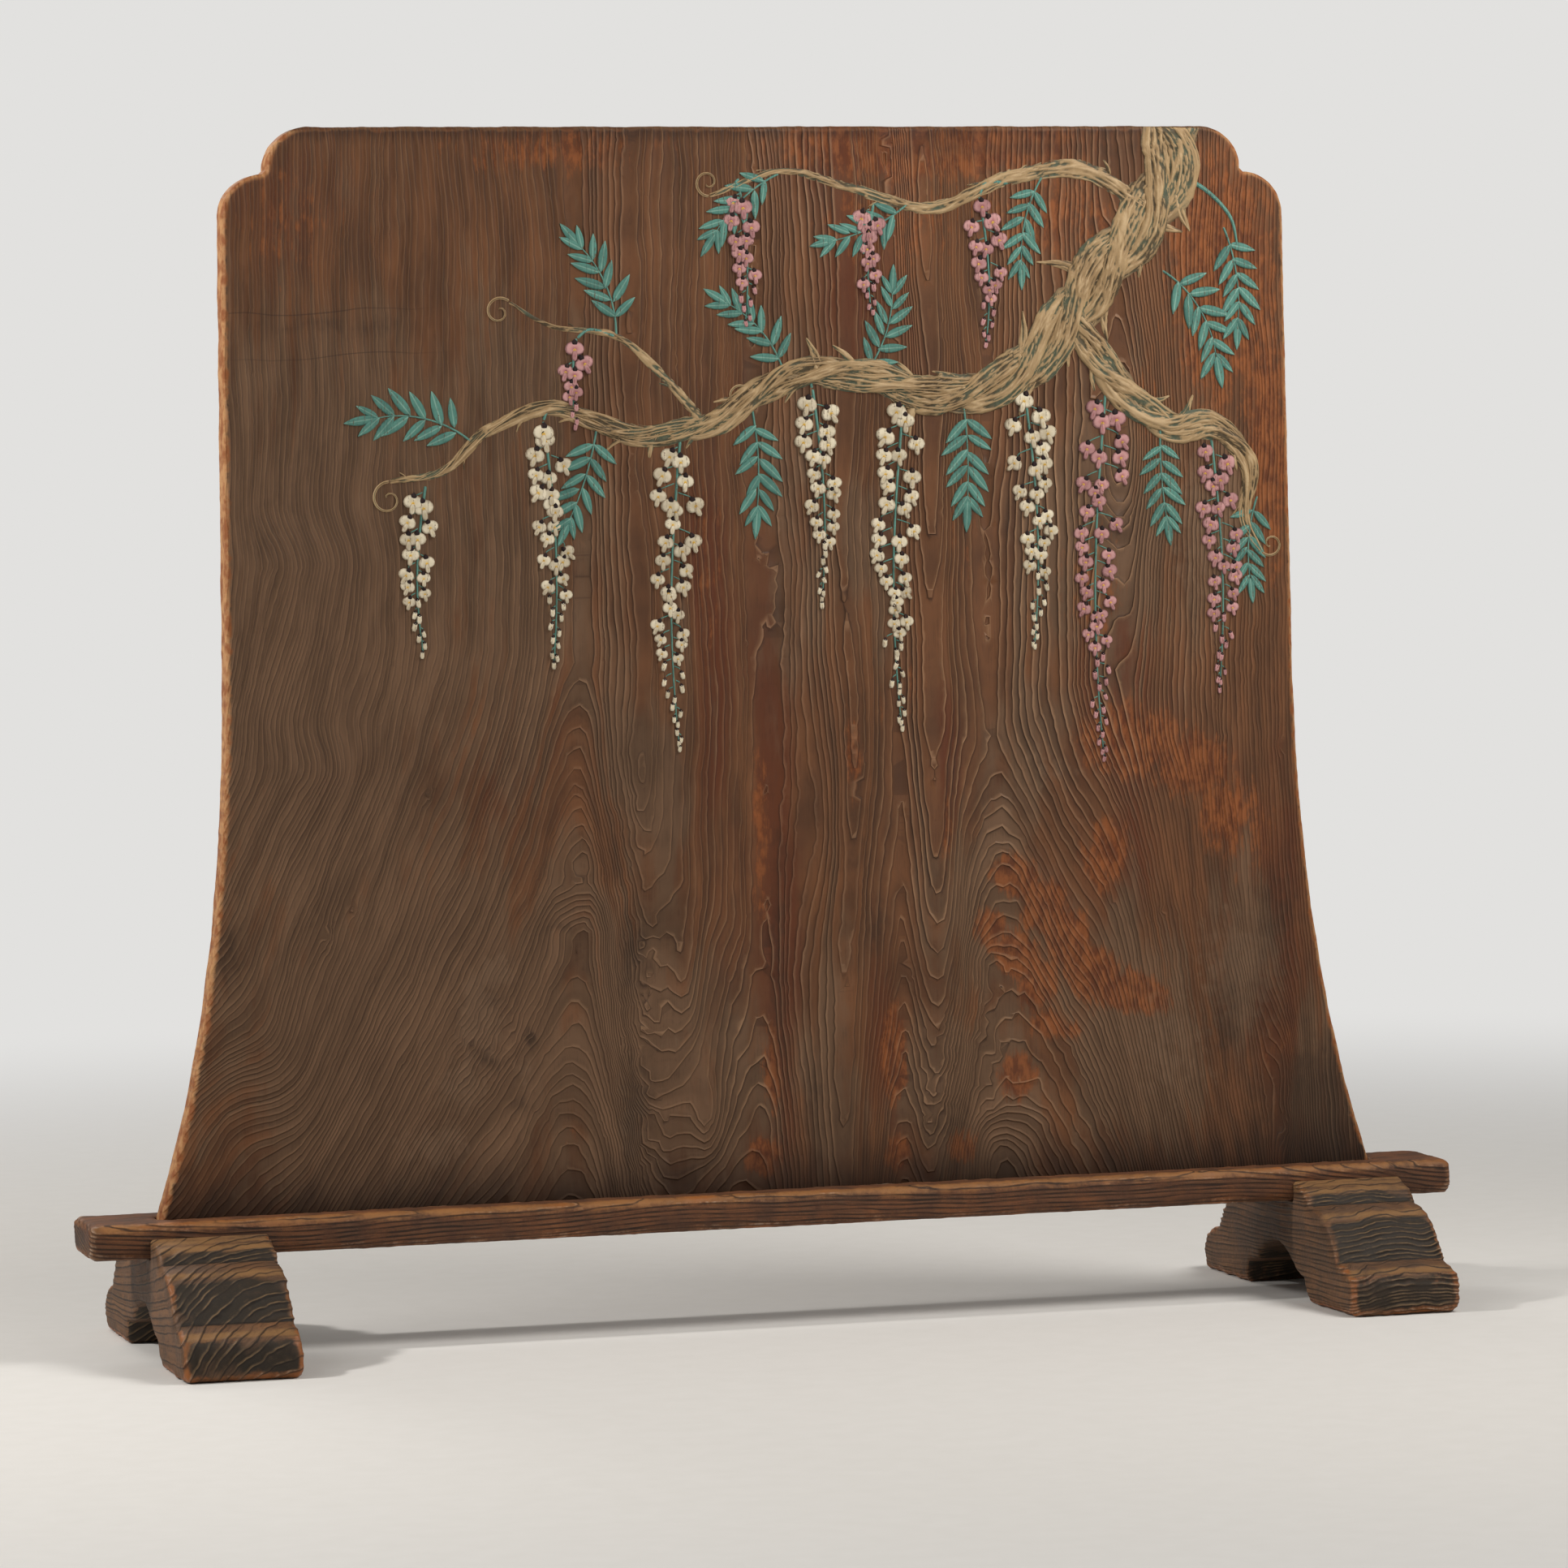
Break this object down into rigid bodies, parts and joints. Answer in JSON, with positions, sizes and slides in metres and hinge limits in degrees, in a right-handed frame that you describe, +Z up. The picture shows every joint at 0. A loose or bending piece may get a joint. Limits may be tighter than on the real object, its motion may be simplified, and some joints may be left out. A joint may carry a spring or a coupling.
{
  "type": "freestanding screen",
  "caption": "Freestanding single-board screen with notched top corners and flared sides, standing in a grooved rail on sled feet; the board lifts out.",
  "frame": {"origin": "on the floor, at the middle of the footprint of the two feet", "axes": "+X along the rail to the right, -Y towards the carved front of the board, +Z up"},
  "size_m": [1.6, 0.49, 1.355],
  "materials": {
    "board_wood": "brushed raised grain, old stain, satin",
    "rail_wood": "brushed raised grain, worn arrises, satin",
    "foot_wood": "weathered raised grain, matt",
    "peg_wood": "bare"
  },
  "bodies": {
    "stand": {"rail": "rail_wood", "left_foot": "foot_wood", "right_foot": "foot_wood", "left_front_peg": "peg_wood", "left_rear_peg": "peg_wood", "right_front_peg": "peg_wood", "right_rear_peg": "peg_wood"},
    "screen_board": {"board": "board_wood"}
  },
  "joints": [
    {"name": "board_lift", "type": "slide", "parent": "stand", "child": "screen_board", "axis": [0, 0, 1], "range_m": [0, 0.1]}
  ]
}
